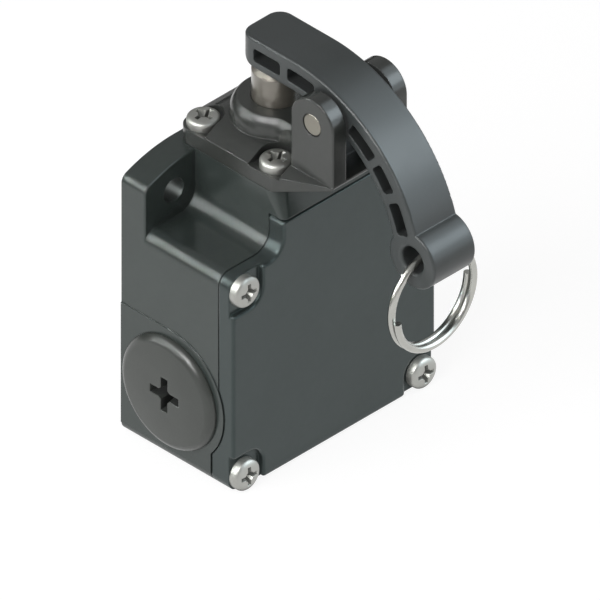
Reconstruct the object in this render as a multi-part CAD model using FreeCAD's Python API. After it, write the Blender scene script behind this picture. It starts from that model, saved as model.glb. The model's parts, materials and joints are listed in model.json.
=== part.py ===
import FreeCAD, Part
import math
import os

# Rope pull switch: a cast switch housing with a pull lever on its head, sizes in millimetres.
# The origin is midway between the two mounting holes, on the back face.
# +X points to the right, +Y into the wall and +Z up. Heights count from the bottom of the housing
# and depths from the front of the cover, and up() and back() turn them into the frame above.

# Housing
housing_width = 56.0
housing_depth = 31.0
shoulder_height = 50.7
shoulder_fillet = 4.1
shoulder_corner = 2.9
fillet_share = 0.9
outline_corner = 2.25
neck_width = 28.0
neck_rise = 13.3
neck_cap_rise = 5.4
neck_lean = 2.0
neck_corner = 3.2
neck_foot_corner = 1.6
neck_back_step = 1.0
neck_roof = 12.0
back_wall = 3.0
edge_break = 0.4

# Mounting ears
mount_hole_drop = 7.0
mount_hole_pitch = 40.0
mount_hole_diameter = 5.5
ear_thickness = 6.5
ear_flat_width = 27.0
ear_top_radius = 35.0
ear_corner = 2.0
ear_edge = 0.4

# Cover and its gasket
cover_depth = 4.1
cover_plate = 2.5
cover_skirt = 1.7
cover_edge = 0.65
cover_lip_depth = 6.0
cover_lip_height = 9.5
gasket_width = 1.7
seam_gap = 0.2
cover_top_gap = 0.6
cover_top_chamfer = 0.5

# Cover screws
cover_screw_side = 3.5
cover_screw_low = 3.2
cover_screw_drop = 3.6
cover_screw_diameter = 3.4
cover_screw_length = 12.0
cover_screw_head = 6.9
cover_screw_rim = 1.2
cover_screw_dome = 1.1
screw_recess_span = 0.6
screw_recess_arm = 0.15
screw_recess_floor = 0.35
screw_pocket_depth = 1.2
screw_pocket_reach = 4.8
screw_pocket_mouth = 0.8
screw_land = 3.5
thread_clearance = 0.05
through_clearance = 0.25

# Conduit entries
conduit_thread = 20.0
conduit_depth = 17.1
conduit_height = 16.5
conduit_wall = 8.0
conduit_boss = 25.0
pad_radius = 14.5
pad_rise = 0.2
plug_diameter = 25.4
plug_head = 1.9
plug_rim = 0.6
plug_flat = 22.6
plug_shank = 7.5
plug_floor = 2.5
plug_wall = 2.2
plug_recess_span = 8.0
plug_recess_arm = 1.8
plug_recess_depth = 1.6
plug_recess_root = 0.9
plug_recess_tip = 0.36
plug_round_bulge = 0.38
seal_thickness = 0.8
seal_width = 1.7

# Head
head_width = 28.0
head_corner = 3.5
plunger_inset = 15.0
head_edge = 3.6
head_roof_rise = 2.4
head_roof_run = 4.2
head_roof_round = 8.0
boss_rise = 10.3
boss_foot = 19.0
boss_side = 18.8
boss_side_rise = 6.0
boss_waist = 18.1
boss_waist_rise = 8.4
boss_top = 15.6
bridge_foot = 14.0
bridge_side = 13.8
bridge_waist = 13.1
bridge_top = 10.6
bridge_blend = 5.0
head_screw_pitch = 20.2
head_screw_seat = 3.3
head_screw_length = 9.0
head_screw_notch = 4.1
head_gasket_bore = 16.8
head_gasket_width = 2.2
head_gasket_thickness = 1.2

# Clevis and pivot
pivot_reach = 20.1
pivot_rise = 18.0
pin_diameter = 5.0
pin_recess = 0.1
pin_chamfer = 0.3
clevis_width = 20.7
clevis_ear = 3.6
clevis_radius = 5.9
bracket_start = 12.6
bracket_slope_rise = 5.0
bracket_round = 1.4
running_clearance = 0.05

# Plunger, its guide and its spring
plunger_diameter = 10.0
plunger_dome = 7.0
plunger_chamfer = 1.0
plunger_flange = 14.6
plunger_flange_thickness = 2.0
plunger_stem = 6.0
stem_clearance = 0.1
flange_clearance = 0.3
rest_gap = 0.05
plunger_travel = 5.6
bush_diameter = 12.8
bush_length = 3.5
seal_length = 1.4
boss_lip = 0.7
spring_pocket_depth = 9.5
spring_wire = 1.1
spring_diameter = 10.8
spring_turns = 4.5

# Lever
lever_width = 11.5
lever_band = 7.0
lever_rise = 1.0
lever_bend = 10.04
lever_radius = 35.7
lever_tail = 24.9
lever_tail_corner = 3.2
lever_tail_round = 4.4
lever_hub = 11.0
lever_web = 2.5
pocket_outer_rim = 2.2
pocket_inner_rim = 1.7
pocket_corner = 0.7
tail_pocket_start = 13.4
tail_pocket_length = 7.4
bend_pocket_length = 1.4
bend_pocket_sweep = 10.7
arm_pocket_starts = (30.0, 46.5, 60.9)
arm_pocket_sweeps = (13.5, 10.7, 12.6)
eye_angle = 82.4
eye_offset = 33.4
eye_radius = 6.3
eye_bore = 5.8
eye_lip = 0.8
lever_edge = 0.5

# Split ring
ring_wire = 1.6
ring_diameter = 23.5
ring_start_angle = 183.0
ring_sweep = 536.0
ring_pitch_ratio = 1.03
ring_drop = 0.4

# Contact block
block_width = 28.0
block_depth = 18.0
block_height = 30.0
block_headroom = 5.2
block_wall = 2.5
channel_width = 16.0
channel_depth = 11.5
block_cover_thickness = 1.5
block_cover_overlap = 0.6
lug_reach = 6.0
lug_height = 8.0
lug_thickness = 3.0
lug_drop = 14.0
post_length = 6.0
post_diameter = 6.0
block_screw_diameter = 2.9
block_screw_head = 5.2
block_screw_length = 8.0
small_screw_rim = 1.2
small_screw_dome = 1.1

# Contacts
carriage_width = 6.0
carriage_height = 14.7
carriage_gap = 0.3
carriage_stem = 5.0
carriage_window_width = 4.4
carriage_window_height = 5.0
carriage_window_drop = 4.2
bridge_length = 14.6
bridge_width = 4.0
bridge_thickness = 1.0
bridge_spring_wire = 0.4
bridge_spring_diameter = 2.6
bridge_spring_turns = 3.5
contact_gap = 0.1
contact_strip = 1.0
contact_tip_reach = 4.2
contact_strip_length = 8.5
terminal_inset = 2.5
terminal_pad_height = 5.4
terminal_pad_width = 5.0
terminal_clamp = 1.0
terminal_screw_diameter = 2.8
terminal_screw_head = 4.8
terminal_screw_length = 7.0
carriage_spring_wire = 0.45
carriage_spring_diameter = 4.4
carriage_spring_turns = 4.5

# Earth terminal
earth_inset = 2.5
earth_drop = 4.8
earth_post_length = 10.0
earth_post_diameter = 6.4
earth_clamp_size = 6.4
earth_clamp_thickness = 1.2
earth_screw_length = 7.0

overcut = 1.0

# Heights that follow from the ones above
neck_height = shoulder_height + neck_rise
cover_height = neck_height - neck_cap_rise
mount_hole_height = neck_height - mount_hole_drop

vector = FreeCAD.Vector
axis_directions = {"x": vector(1, 0, 0), "y": vector(0, 1, 0), "z": vector(0, 0, 1)}


def up(height):
    return height - mount_hole_height


def back(depth):
    return depth - housing_depth


def place(axis, offset, a, b):
    # A point given by its two in-plane values on the plane at offset along axis.
    if axis == "x":
        return vector(offset, a, b)
    if axis == "y":
        return vector(a, offset, b)
    return vector(a, b, offset)


def rounded_loop(corners, axis, offset):
    # A closed wire through corners (a, b, radius), each rounded by its own radius.
    points = [vector(a, b, 0) for a, b, radius in corners]
    rounds = []
    for index, (a, b, radius) in enumerate(corners):
        point = points[index]
        before = (points[index - 1] - point).normalize()
        after = (points[(index + 1) % len(points)] - point).normalize()
        half_angle = before.getAngle(after) / 2
        reach = radius / math.tan(half_angle)
        inward = (before + after).normalize()
        bulge = point + inward * (radius / math.sin(half_angle) - radius)
        rounds.append((point + before * reach, bulge, point + after * reach, radius))
    edges = []
    for index, (start, bulge, end, radius) in enumerate(rounds):
        spots = [place(axis, offset, spot.x, spot.y) for spot in (start, bulge, end)]
        if radius > 0:
            edges.append(Part.Arc(*spots).toShape())
        following = rounds[(index + 1) % len(rounds)][0]
        edges.append(Part.makeLine(spots[2], place(axis, offset, following.x, following.y)))
    return Part.Wire(edges)


def slab(corners, axis, low, high):
    face = Part.Face(rounded_loop(corners, axis, low))
    return face.extrude(axis_directions[axis] * (high - low))


def rectangle(a_low, a_high, b_low, b_high, radius=0):
    corners = [(a_low, b_low), (a_high, b_low), (a_high, b_high), (a_low, b_high)]
    return [(a, b, radius) for a, b in corners]


def rod(axis, diameter, a, b, low, high):
    return Part.makeCylinder(diameter / 2, high - low, place(axis, low, a, b), axis_directions[axis])


def tube(axis, outer, inner, a, b, low, high):
    return rod(axis, outer, a, b, low, high).cut(rod(axis, inner, a, b, low, high))


def both_sides(shape):
    return [shape, shape.mirror(vector(0, 0, 0), axis_directions["x"])]


def wound_wire(wire, diameter, pitch, start, sweep):
    # Round wire wound about the z axis from half turns, each in its own slightly tilted plane.
    pieces = []
    angle = start
    while angle < start + sweep:
        half = math.floor(angle / 180)
        end = min(180 * (half + 1), start + sweep)
        side = 1 if half % 2 == 0 else -1
        centre = vector(0, 0, pitch * (half + 0.5) / 2)
        spoke = vector(side * diameter / 2, 0, -pitch / 4)
        forward = vector(0, side, 0)
        normal = spoke.cross(forward)
        section = Part.Face(Part.Wire(Part.makeCircle(wire / 2, centre + spoke, forward)))
        section.rotate(centre, normal, angle - 180 * half)
        pieces.append(section.revolve(centre, normal, end - angle))
        angle = end
    return pieces[0].fuse(pieces[1:])


def coil(wire, diameter, turns, low, high, centre_y):
    # A compression spring about a vertical line, its end coils touching low and high.
    spring = wound_wire(wire, diameter, (high - low - wire) / turns, 0, 360 * turns)
    spring.translate(vector(0, centre_y, low + wire / 2))
    return spring


def pan_screw(diameter, length, head, rim, dome):
    # A cross-recessed pan-head screw pointing down, its head seated on z = 0.
    ball = (head * head / 4 + dome * dome) / (2 * dome)
    shoulder = vector(head / 4, 0, rim + dome - ball + math.sqrt(ball * ball - head * head / 16))
    shank = diameter / 2
    edge = head / 2
    corners = [(0, rim + dome), (0, -length), (shank, -length), (shank, 0), (edge, 0), (edge, rim)]
    spots = [vector(radius, 0, height) for radius, height in corners]
    edges = [Part.makeLine(start, end) for start, end in zip(spots, spots[1:])]
    edges.append(Part.Arc(spots[-1], shoulder, spots[0]).toShape())
    screw = Part.Face(Part.Wire(edges)).revolve(vector(0, 0, 0), axis_directions["z"], 360)
    arm_reach = head * screw_recess_span / 2
    arm_half = head * screw_recess_arm / 2
    recess_floor = rim * screw_recess_floor
    for reach_x, reach_y in ((arm_reach, arm_half), (arm_half, arm_reach)):
        arm = slab(rectangle(-reach_x, reach_x, -reach_y, reach_y), "z", recess_floor, rim + dome + overcut)
        screw = screw.cut(arm)
    return screw


def facing_front(screw, x, y, z):
    turned = screw.copy()
    turned.rotate(vector(0, 0, 0), axis_directions["x"], 90)
    turned.translate(vector(x, y, z))
    return turned


# Places that several pieces share
half_width = housing_width / 2
axis_y = -plunger_inset
rim_y = back(cover_depth + seam_gap / 2)
cover_edge_y = back(cover_depth - seam_gap / 2)
lip_rim_y = back(cover_lip_depth + seam_gap / 2)
lip_edge_y = back(cover_lip_depth - seam_gap / 2)
cover_inside_y = back(cover_plate)
side_wall = cover_skirt + gasket_width
cavity_top = up(neck_height - neck_roof)
conduit_y = back(conduit_depth)
conduit_z = up(conduit_height)
head_seat = up(neck_height)
pivot_y = axis_y - pivot_reach
pivot_z = head_seat + pivot_rise
lever_under = pivot_z + lever_rise
bend_y = pivot_y + lever_bend
bend_z = lever_under + lever_band - lever_radius
eye_y = bend_y - eye_offset * math.sin(math.radians(eye_angle))
eye_z = bend_z + eye_offset * math.cos(math.radians(eye_angle))
block_top = cavity_top - block_headroom
block_low = block_top - block_height
block_back = -back_wall
block_front = block_back - block_depth
spring_floor = head_seat - spring_pocket_depth
plunger_foot = block_top + plunger_travel + carriage_gap + stem_clearance
boss_top_z = head_seat + boss_rise
seal_top = boss_top_z - boss_lip
bush_top = seal_top - seal_length
bush_low = bush_top - bush_length
flange_top = bush_low - rest_gap
flange_low = flange_top - plunger_flange_thickness
head_seat_z = head_seat + head_screw_seat
lug_z = block_top - lug_drop
lug_x = block_width / 2 + lug_reach / 2
post_front = block_back - post_length
lug_front = post_front - lug_thickness
earth_x = block_width / 2 + earth_inset
earth_z = block_low - earth_drop
earth_front = block_back - earth_post_length
cover_screw_x = half_width - cover_screw_side
cover_screw_spots = [
    (side * cover_screw_x, up(height))
    for side in (-1, 1)
    for height in (cover_screw_low, shoulder_height - cover_screw_drop)
]
head_screw_spots = [
    (side * head_screw_pitch / 2, axis_y + end * head_screw_pitch / 2) for side in (-1, 1) for end in (-1, 1)
]


def body_outline(inset, top):
    # The front outline of the housing, moved inwards by inset and ending at top.
    half = half_width - inset
    neck = neck_width / 2 - inset
    low = up(0) + inset
    shoulder = up(shoulder_height) - inset
    corner = max(outline_corner - inset, 0)
    crest = max(shoulder_corner - inset, 0)
    fillet = min(shoulder_fillet + inset, fillet_share * (top - shoulder))
    right = [(half, low, corner), (half, shoulder, crest), (neck, shoulder, fillet), (neck, top, 0)]
    left = [(-x, z, radius) for x, z, radius in reversed(right)]
    return right + left


def inner_space(inset, top, land, low, high):
    # The space inside the outline, going round a land about each cover screw.
    space = slab(body_outline(inset, top), "y", low, high)
    return space.cut([rod("y", 2 * land, x, z, low, high) for x, z in cover_screw_spots])


def gasket_space(low, high):
    return inner_space(cover_skirt, cavity_top + gasket_width, screw_land, low, high)


def cavity_space(low, high):
    return inner_space(side_wall, cavity_top, screw_land + gasket_width, low, high)


def lower_lip(low, high):
    # The strip outside the gasket where the cover reaches further back, below the conduit pads.
    lip_top = up(cover_lip_height)
    strip = slab(body_outline(0, up(cover_height)), "y", low, high).cut(gasket_space(low, high))
    return strip.common(slab(rectangle(-half_width, half_width, up(0), lip_top), "y", low, high))


def conduit_pad():
    # The raised pad round the left entry: an arc to the front, straight on top and at the back.
    inner = -half_width + cover_skirt
    outer = -half_width - pad_rise
    pad_top = conduit_z + pad_radius
    front = conduit_y - pad_radius
    low = up(outline_corner)
    pad = rod("x", 2 * pad_radius, conduit_y, conduit_z, outer, inner)
    pad = pad.common(slab(rectangle(front, 0, low, pad_top), "x", outer, inner))
    rear = slab(rectangle(conduit_y, 0, low, pad_top), "x", outer, inner)
    foot = slab(rectangle(lip_rim_y, conduit_y, low, conduit_z - pad_radius / 2), "x", outer, inner)
    return pad.fuse([rear, foot]).removeSplitter()


def ear_plate():
    # The back plate with both mounting ears, its top falling away in an arc to each side.
    flat = ear_flat_width / 2
    top = head_seat
    sag = ear_top_radius - math.sqrt(ear_top_radius ** 2 - (half_width - flat) ** 2)
    turn = math.asin((half_width - flat) / ear_top_radius) / 2
    mid_x = flat + ear_top_radius * math.sin(turn)
    mid_z = top - ear_top_radius * (1 - math.cos(turn))
    low = up(shoulder_height / 2)
    front = -ear_thickness
    outline = [(half_width, low), (half_width, top - sag), (mid_x, mid_z), (flat, top)]
    right = [vector(x, front, z) for x, z in outline]
    left = [vector(-x, front, z) for x, z in outline]
    edges = [
        Part.makeLine(left[0], right[0]),
        Part.makeLine(right[0], right[1]),
        Part.Arc(right[1], right[2], right[3]).toShape(),
        Part.makeLine(right[3], left[3]),
        Part.Arc(left[3], left[2], left[1]).toShape(),
        Part.makeLine(left[1], left[0]),
    ]
    plate = Part.Face(Part.Wire(edges)).extrude(vector(0, ear_thickness, 0))
    tips = [
        edge for edge in plate.Edges
        if abs(abs(edge.CenterOfMass.x) - half_width) < 0.01 and abs(edge.CenterOfMass.z - (top - sag)) < 0.01
    ]
    plate = plate.makeFillet(ear_corner, tips)
    front_rim = [edge for edge in plate.Edges if edge.BoundBox.YMax < front + 0.01 and edge.BoundBox.ZMax > 0]
    return plate.makeFillet(ear_edge, front_rim)


def neck_cap():
    # The neck above the cover: its front leans back and its corners open out towards the head.
    half = neck_width / 2
    foot = rectangle(-half, half, back(0), -neck_back_step, neck_foot_corner)
    top = rectangle(-half, half, back(neck_lean), -neck_back_step, neck_corner)
    foot_loop = rounded_loop(foot, "z", up(cover_height))
    top_loop = rounded_loop(top, "z", head_seat)
    return Part.makeLoft([foot_loop, top_loop], True, True)


def housing():
    shell = slab(body_outline(0, up(cover_height)), "y", rim_y, 0)
    shell = shell.fuse([neck_cap(), ear_plate()])
    shell = shell.cut(cavity_space(rim_y, block_back))
    side_boss = rod("x", conduit_boss, conduit_y, conduit_z, -half_width, -half_width + conduit_wall)
    bottom_boss = rod("z", conduit_boss, 0, conduit_y, up(0), up(conduit_wall))
    posts = both_sides(rod("y", post_diameter, lug_x, lug_z, post_front, block_back))
    posts.append(rod("y", earth_post_diameter, earth_x, earth_z, earth_front, block_back))
    shell = shell.fuse(both_sides(side_boss) + [bottom_boss] + posts).cut(lower_lip(rim_y, lip_rim_y))
    shell = shell.fuse(both_sides(conduit_pad()))

    wall_inside = -half_width + conduit_wall
    entry = rod("x", conduit_thread, conduit_y, conduit_z, -half_width - overcut, wall_inside + overcut)
    cuts = both_sides(entry)
    cuts.append(rod("z", conduit_thread, 0, conduit_y, up(-overcut), up(conduit_wall + overcut)))
    mount_hole = rod("y", mount_hole_diameter, mount_hole_pitch / 2, 0, -ear_thickness - overcut, overcut)
    cuts += both_sides(mount_hole)
    tapped = cover_screw_diameter + 2 * thread_clearance
    screw_end = back(screw_pocket_depth + cover_screw_length + overcut)
    cuts += [rod("y", tapped, x, z, rim_y - overcut, screw_end) for x, z in cover_screw_spots]
    head_screw_end = head_seat_z - head_screw_length - thread_clearance
    cuts += [rod("z", tapped, x, y, head_screw_end, head_seat + overcut) for x, y in head_screw_spots]
    cuts.append(rod("z", plunger_flange + 2 * flange_clearance, 0, axis_y, spring_floor, head_seat + overcut))
    stem_hole = plunger_stem + 2 * stem_clearance
    cuts.append(rod("z", stem_hole, 0, axis_y, cavity_top - overcut, spring_floor + overcut))
    block_tapped = block_screw_diameter + 2 * thread_clearance
    block_screw_end = lug_front + block_screw_length + thread_clearance
    cuts += both_sides(rod("y", block_tapped, lug_x, lug_z, post_front - overcut, block_screw_end))
    earth_screw_end = earth_front - earth_clamp_thickness + earth_screw_length + thread_clearance
    cuts.append(rod("y", tapped, earth_x, earth_z, earth_front - overcut, earth_screw_end))
    return shell.cut(cuts).removeSplitter()


def screw_pocket(x_side, z_near, z_end):
    # A pocket for a cover screw, open to the side and to one end, rounded at its inner corner and its mouths.
    inner = cover_screw_x - screw_pocket_reach
    outer = half_width + overcut
    corner = screw_pocket_reach - overcut
    ahead = math.copysign(1, z_end - z_near)
    flare = screw_pocket_mouth + overcut
    beyond = z_end + ahead * overcut
    corners = [
        (inner, z_near, corner),
        (half_width, z_near, screw_pocket_mouth),
        (half_width, z_near - ahead * flare, 0),
        (outer, z_near - ahead * flare, 0),
        (outer, beyond, 0),
        (inner - flare, beyond, 0),
        (inner - flare, z_end, 0),
        (inner, z_end, screw_pocket_mouth),
    ]
    corners = [(x_side * x, z, radius) for x, z, radius in corners]
    return slab(corners, "y", back(-overcut), back(screw_pocket_depth))


def front_cover():
    top = up(cover_height - cover_top_gap)
    cover = slab(body_outline(0, top), "y", back(0), cover_edge_y)
    cover = cover.cut(gasket_space(cover_inside_y, cover_edge_y))
    cover = cover.fuse(lower_lip(cover_inside_y, lip_edge_y))
    skirt_x = -half_width + cover_skirt
    notch = rod("x", 2 * (pad_radius + seam_gap), conduit_y, conduit_z, -half_width - overcut, skirt_x)
    cuts = both_sides(notch)
    low_z = up(cover_screw_low)
    high_z = up(shoulder_height - cover_screw_drop)
    for side in (-1, 1):
        cuts.append(screw_pocket(side, low_z + screw_pocket_reach, up(0)))
        cuts.append(screw_pocket(side, high_z - screw_pocket_reach, up(shoulder_height)))
    clear = cover_screw_diameter + 2 * through_clearance
    cuts += [rod("y", clear, x, z, back(-overcut), lip_edge_y + overcut) for x, z in cover_screw_spots]
    cover = cover.cut(cuts).removeSplitter()
    neck_ends = [
        edge for edge in cover.Edges
        if edge.BoundBox.ZMin > top - 0.01 and abs(abs(edge.CenterOfMass.x) - neck_width / 2) < 0.01
    ]
    cover = cover.makeChamfer(cover_top_chamfer, neck_ends)
    front_rim = [
        edge for edge in cover.Edges
        if edge.BoundBox.YMax < back(0) + 0.01 and edge.BoundBox.ZMin < top - cover_edge
    ]
    return cover.makeFillet(cover_edge, front_rim)


def cover_gasket():
    return gasket_space(cover_inside_y, rim_y).cut(cavity_space(cover_inside_y, rim_y))


def main_screw(length):
    # The screw used for the cover, the head and the earth terminal, in different lengths.
    return pan_screw(cover_screw_diameter, length, cover_screw_head, cover_screw_rim, cover_screw_dome)


def cover_screws():
    screw = main_screw(cover_screw_length)
    seat = back(screw_pocket_depth)
    return Part.makeCompound([facing_front(screw, x, seat, z) for x, z in cover_screw_spots])


def conduit_plug():
    # The left plug, with a domed rim, a hollow threaded shank and a cross recess.
    face = -half_width - pad_rise
    radius = plug_diameter / 2
    corners = [(0, plug_head), (0, 0), (radius, 0), (radius, plug_rim)]
    spots = [vector(-height, distance, 0) for distance, height in corners]
    flat_edge = vector(-plug_head, plug_flat / 2, 0)
    outward = vector(plug_flat / 2 - radius, plug_head - plug_rim, 0).normalize()
    shoulder_mid = (flat_edge + spots[-1]) * 0.5 + outward * plug_round_bulge
    edges = [Part.makeLine(start, end) for start, end in zip(spots, spots[1:])]
    edges.append(Part.Arc(spots[-1], shoulder_mid, flat_edge).toShape())
    edges.append(Part.makeLine(flat_edge, spots[0]))
    plug = Part.Face(Part.Wire(edges)).revolve(vector(0, 0, 0), axis_directions["x"], 360)
    plug.translate(vector(face, conduit_y, conduit_z))
    shank = conduit_thread - 2 * thread_clearance
    plug = plug.fuse(rod("x", shank, conduit_y, conduit_z, face, face + plug_shank))
    bore = shank - 2 * plug_wall
    hollow = rod("x", bore, conduit_y, conduit_z, face + plug_floor, face + plug_shank + overcut)
    seal_seat = tube("x", shank + 2 * seal_width, shank, conduit_y, conduit_z, face - seal_thickness, face)
    span = plug_recess_span / 2
    arm = plug_recess_arm / 2
    quarter = [(span, -arm, plug_recess_tip), (span, arm, plug_recess_tip), (arm, arm, plug_recess_root)]
    cross = []
    for cosine, sine in ((1, 0), (0, 1), (-1, 0), (0, -1)):
        for a, b, rounding in quarter:
            cross.append((conduit_y + a * cosine - b * sine, conduit_z + a * sine + b * cosine, rounding))
    recess = slab(cross, "x", face - plug_head - overcut, face - plug_head + plug_recess_depth)
    return plug.cut([hollow, seal_seat, recess]).removeSplitter()


def plug_seals():
    face = -half_width - pad_rise
    shank = conduit_thread - 2 * thread_clearance
    seal = tube("x", shank + 2 * seal_width, shank, conduit_y, conduit_z, face - seal_thickness, face)
    return Part.makeCompound(both_sides(seal))


def bracket_under(y):
    # The height of the bracket's sloping underside.
    bend = axis_y - bracket_start
    front = pivot_y - clevis_radius
    return head_seat + bracket_slope_rise * (bend - y) / (bend - front)


def head_core():
    # Base and clevis bracket in one: a hipped top, a plan that narrows to the front, a sloping underside.
    half = head_width / 2
    low = head_seat
    edge = head_seat + head_edge
    ridge = edge + head_roof_rise
    flat = half - head_roof_run
    rear = axis_y + half
    front = pivot_y - clevis_radius
    tip = clevis_width / 2
    bend = axis_y - bracket_start
    nose = min(bracket_round, ridge - bracket_under(front))
    roof = [(half, low, 0), (half, edge, 0), (flat, ridge, head_roof_round)]
    roof += [(-x, z, radius) for x, z, radius in reversed(roof)]
    side = [
        (rear, low, 0),
        (rear, edge, 0),
        (rear - head_roof_run, ridge, head_roof_round),
        (front, ridge, 0),
        (front, bracket_under(front), nose),
        (bend, low, 0),
    ]
    plan = [(half, rear, head_corner), (half, bend, head_corner), (tip, front, edge_break)]
    plan += [(-x, y, radius) for x, y, radius in reversed(plan)]
    core = slab(roof, "y", front - overcut, rear + overcut)
    core = core.common(slab(side, "x", -half - overcut, half + overcut))
    return core.common(slab(plan, "z", low - overcut, ridge + overcut))


def boss_loop(diameter, width, height):
    # The plunger boss in plan: a round nose that runs forward into the bridge through two hollow blends.
    radius = diameter / 2
    half = width / 2
    front = pivot_y
    blend_x = half + bridge_blend
    blend_y = axis_y - math.sqrt((radius + bridge_blend) ** 2 - blend_x ** 2)
    share = radius / (radius + bridge_blend)
    join_x = blend_x * share
    join_y = axis_y + (blend_y - axis_y) * share
    lean = math.atan2(join_y - blend_y, join_x - blend_x)
    middle = (lean - math.pi) / 2 if lean < 0 else (lean + math.pi) / 2
    mid_x = blend_x + bridge_blend * math.cos(middle)
    mid_y = blend_y + bridge_blend * math.sin(middle)
    right = [vector(half, front, height), vector(half, blend_y, height), vector(mid_x, mid_y, height)]
    join = vector(join_x, join_y, height)
    left = [vector(-spot.x, spot.y, height) for spot in right]
    left_join = vector(-join_x, join_y, height)
    edges = [
        Part.makeLine(right[0], right[1]),
        Part.Arc(right[1], right[2], join).toShape(),
        Part.Arc(join, vector(0, axis_y + radius, height), left_join).toShape(),
        Part.Arc(left_join, left[2], left[1]).toShape(),
        Part.makeLine(left[1], left[0]),
        Part.makeLine(left[0], right[0]),
    ]
    return Part.Wire(edges)


def clevis_ears():
    # Two round-topped ears that carry the pivot pin.
    inner = clevis_width / 2 - clevis_ear
    outer = clevis_width / 2
    front = pivot_y - clevis_radius
    rear = pivot_y + clevis_radius
    side = [(front, bracket_under(front), bracket_round), (rear, bracket_under(rear), 0)]
    side += [(rear, pivot_z, 0), (front, pivot_z, 0)]
    stem = slab(side, "x", inner, outer)
    ear = stem.fuse(rod("x", 2 * clevis_radius, pivot_y, pivot_z, inner, outer)).removeSplitter()
    rims = [
        edge for edge in ear.Edges
        if abs(edge.BoundBox.XMin - outer) < 0.001 and edge.BoundBox.ZMax > pivot_z
    ]
    return both_sides(ear.makeFillet(edge_break, rims))


def head_body():
    foot = head_seat + head_edge
    sections = [
        boss_loop(boss_foot, bridge_foot, foot),
        boss_loop(boss_side, bridge_side, head_seat + boss_side_rise),
        boss_loop(boss_waist, bridge_waist, head_seat + boss_waist_rise),
        boss_loop(boss_top, bridge_top, boss_top_z),
    ]
    boss = Part.makeLoft(sections, True, False)
    head = head_core().fuse([boss] + clevis_ears())
    cuts = []
    for x, y in head_screw_spots:
        side = math.copysign(1, x)
        cuts.append(rod("z", 2 * head_screw_notch, x, y, head_seat_z, boss_top_z))
        outside = side * (head_width / 2 + overcut)
        opening = rectangle(min(x, outside), max(x, outside), y - head_screw_notch, y + head_screw_notch)
        cuts.append(slab(opening, "z", head_seat_z, boss_top_z))
        clear = cover_screw_diameter + 2 * through_clearance
        cuts.append(rod("z", clear, x, y, head_seat - overcut, head_seat_z + overcut))
    cuts.append(rod("z", plunger_flange + 2 * flange_clearance, 0, axis_y, head_seat - overcut, bush_low))
    cuts.append(rod("z", bush_diameter, 0, axis_y, bush_low - overcut, seal_top))
    lip_bore = plunger_diameter + 2 * stem_clearance
    cuts.append(rod("z", lip_bore, 0, axis_y, seal_top - overcut, boss_top_z + overcut))
    gasket_outer = head_gasket_bore + 2 * head_gasket_width
    groove_top = head_seat + head_gasket_thickness
    cuts.append(tube("z", gasket_outer, head_gasket_bore, 0, axis_y, head_seat - overcut, groove_top))
    reach = clevis_width / 2 + overcut
    cuts.append(rod("x", pin_diameter, pivot_y, pivot_z, -reach, reach))
    return head.cut(cuts).removeSplitter()


def head_gasket():
    outer = head_gasket_bore + 2 * head_gasket_width
    return tube("z", outer, head_gasket_bore, 0, axis_y, head_seat, head_seat + head_gasket_thickness)


def head_screws():
    screw = main_screw(head_screw_length)
    screws = []
    for x, y in head_screw_spots:
        seated = screw.copy()
        seated.translate(vector(x, y, head_seat_z))
        screws.append(seated)
    return Part.makeCompound(screws)


def plunger_bush():
    bore = plunger_diameter + 2 * running_clearance
    return tube("z", bush_diameter, bore, 0, axis_y, bush_low, bush_top)


def plunger_seal():
    bore = plunger_diameter + 2 * running_clearance
    return tube("z", bush_diameter, bore, 0, axis_y, bush_top, seal_top)


def pivot_pin():
    end = clevis_width / 2 - pin_recess
    pin = rod("x", pin_diameter, pivot_y, pivot_z, -end, end)
    rims = [edge for edge in pin.Edges if edge.BoundBox.XLength < 0.001]
    return pin.makeChamfer(pin_chamfer, rims)


def plunger():
    # Steel plunger: a domed and chamfered top, a stop flange and a stem to the contact carriage.
    top = lever_under - rest_gap
    radius = plunger_diameter / 2
    dome_edge = radius - plunger_chamfer
    dome_centre = top - plunger_dome
    dome_low = dome_centre + math.sqrt(plunger_dome ** 2 - dome_edge ** 2)
    dome_mid = vector(dome_edge / 2, 0, dome_centre + math.sqrt(plunger_dome ** 2 - dome_edge ** 2 / 4))
    corners = [
        (0, top), (0, plunger_foot), (plunger_stem / 2, plunger_foot), (plunger_stem / 2, flange_low),
        (plunger_flange / 2, flange_low), (plunger_flange / 2, flange_top), (radius, flange_top),
        (radius, dome_low - plunger_chamfer), (dome_edge, dome_low),
    ]
    spots = [vector(distance, 0, height) for distance, height in corners]
    edges = [Part.makeLine(start, end) for start, end in zip(spots, spots[1:])]
    edges.append(Part.Arc(spots[-1], dome_mid, spots[0]).toShape())
    body = Part.Face(Part.Wire(edges)).revolve(vector(0, 0, 0), axis_directions["z"], 360)
    body.translate(vector(0, axis_y, 0))
    return body


def plunger_spring():
    return coil(spring_wire, spring_diameter, spring_turns, spring_floor, flange_low, axis_y)


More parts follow.
